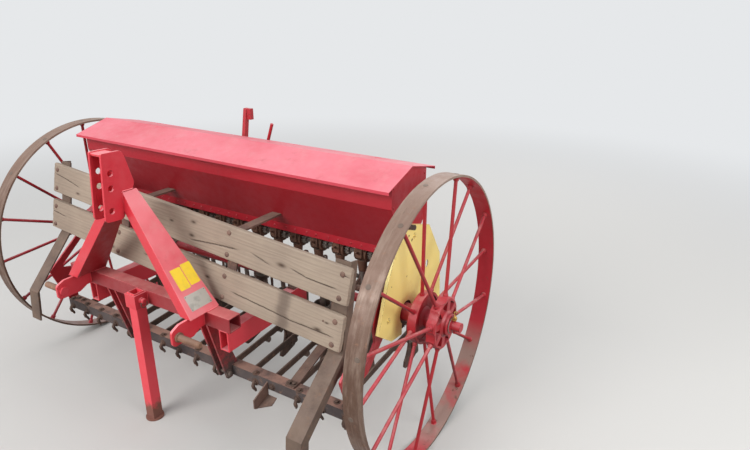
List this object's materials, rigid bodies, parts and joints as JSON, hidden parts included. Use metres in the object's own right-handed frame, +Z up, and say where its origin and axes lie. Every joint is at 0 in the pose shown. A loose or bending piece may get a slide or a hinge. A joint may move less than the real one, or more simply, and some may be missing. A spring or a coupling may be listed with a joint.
{
  "type": "seed drill",
  "caption": "Mounted seed drill on tall spoked steel wheels: long hopper with a hinged lid, board walk in front, raised shoe coulters and a tractor hitch on a parking leg.",
  "frame": {"origin": "on the ground, at the middle of the footprint of the whole machine", "axes": "+X across the machine towards its right wheel, -Y towards the hitch, +Z up"},
  "size_m": [2.396, 1.28, 1.325],
  "materials": {
    "red_paint": "brushed-on gloss paint, dusty",
    "lid_paint": "sun-faded gloss paint",
    "yellow_paint": "aged paint with rust spots",
    "rusty_steel": "brown rust",
    "bare_steel": "dull and worn",
    "worn_rim": "worn and rusty",
    "cast_iron": "rusty casting",
    "weathered_wood": "grey weathered softwood"
  },
  "bodies": {
    "frame": {"axle": "bare_steel", "side_frame_right": "red_paint", "side_frame_left": "red_paint", "hopper_shell": "red_paint", "hopper_end_right": "red_paint", "hopper_end_left": "red_paint", "lid_hinges": "red_paint", "feed_units": "cast_iron", "feed_shaft": "bare_steel", "seed_tubes": "bare_steel", "front_bar": "rusty_steel", "cross_tube": "red_paint", "hitch_beam_right": "red_paint", "hitch_beam_left": "red_paint", "headstock": "red_paint", "link_plate_right": "red_paint", "link_plate_left": "red_paint", "clamp_plates": "red_paint", "hitch_rail_right": "red_paint", "hitch_rail_left": "red_paint", "leg_sleeve": "red_paint", "plank_upper": "weathered_wood", "plank_lower": "weathered_wood", "plank_iron_right": "rusty_steel", "plank_iron_left": "rusty_steel", "plank_supports": "rusty_steel", "gear_cover": "yellow_paint", "axle_stay": "rusty_steel", "bar_bracket": "rusty_steel", "setting_lever": "red_paint", "link_pins": "rusty_steel", "idler_gear": "cast_iron", "axle_straps": "rusty_steel", "lever_quadrant": "rusty_steel"},
    "wheel_right": {"rim_right": "worn_rim", "spokes_right": "red_paint", "hub_right": "red_paint", "hub_gear": "cast_iron"},
    "wheel_left": {"rim_left": "worn_rim", "spokes_left": "red_paint", "hub_left": "red_paint"},
    "lid": {"lid": "lid_paint"},
    "parking_leg": {"parking_leg": "red_paint"},
    "coulter_gang": {"draft_arms": "rusty_steel", "coulters": "rusty_steel", "seed_funnels": "bare_steel"},
    "lift_shaft": {"lift_shaft": "rusty_steel", "lift_lever": "red_paint"},
    "lift_links": {"lift_links": "rusty_steel"}
  },
  "joints": [
    {"name": "wheel_right_spin", "type": "hinge", "parent": "frame", "child": "wheel_right", "pos_m": [1.068, 0.03, 0.61], "axis": [1, 0, 0], "continuous": true},
    {"name": "wheel_left_spin", "type": "hinge", "parent": "frame", "child": "wheel_left", "pos_m": [-1.068, 0.03, 0.61], "axis": [1, 0, 0], "continuous": true},
    {"name": "lid_hinge", "type": "hinge", "parent": "frame", "child": "lid", "pos_m": [0, 0.23, 1.172], "axis": [-1, 0, 0], "range_deg": [0, 90]},
    {"name": "leg_slide", "type": "slide", "parent": "frame", "child": "parking_leg", "axis": [0, 0, 1], "range_m": [0, 0.25]},
    {"name": "coulter_swing", "type": "hinge", "parent": "frame", "child": "coulter_gang", "pos_m": [0, -0.322, 0.292], "axis": [-1, 0, 0], "range_deg": [0, 11]},
    {"name": "lift_shaft_turn", "type": "hinge", "parent": "frame", "child": "lift_shaft", "pos_m": [0, 0.12585, 0.6], "axis": [-1, 0, 0], "range_deg": [0, 57.59]},
    {"name": "lift_link_swing", "type": "hinge", "parent": "coulter_gang", "child": "lift_links", "pos_m": [0, 0.2283, 0.33531], "axis": [-1, 0, 0], "range_deg": [-11.05, 0]}
  ],
  "couplings": [
    {"joint": "lift_shaft_turn", "follows": "coulter_swing", "ratio": 5.226},
    {"joint": "lift_link_swing", "follows": "coulter_swing", "ratio": -1}
  ]
}
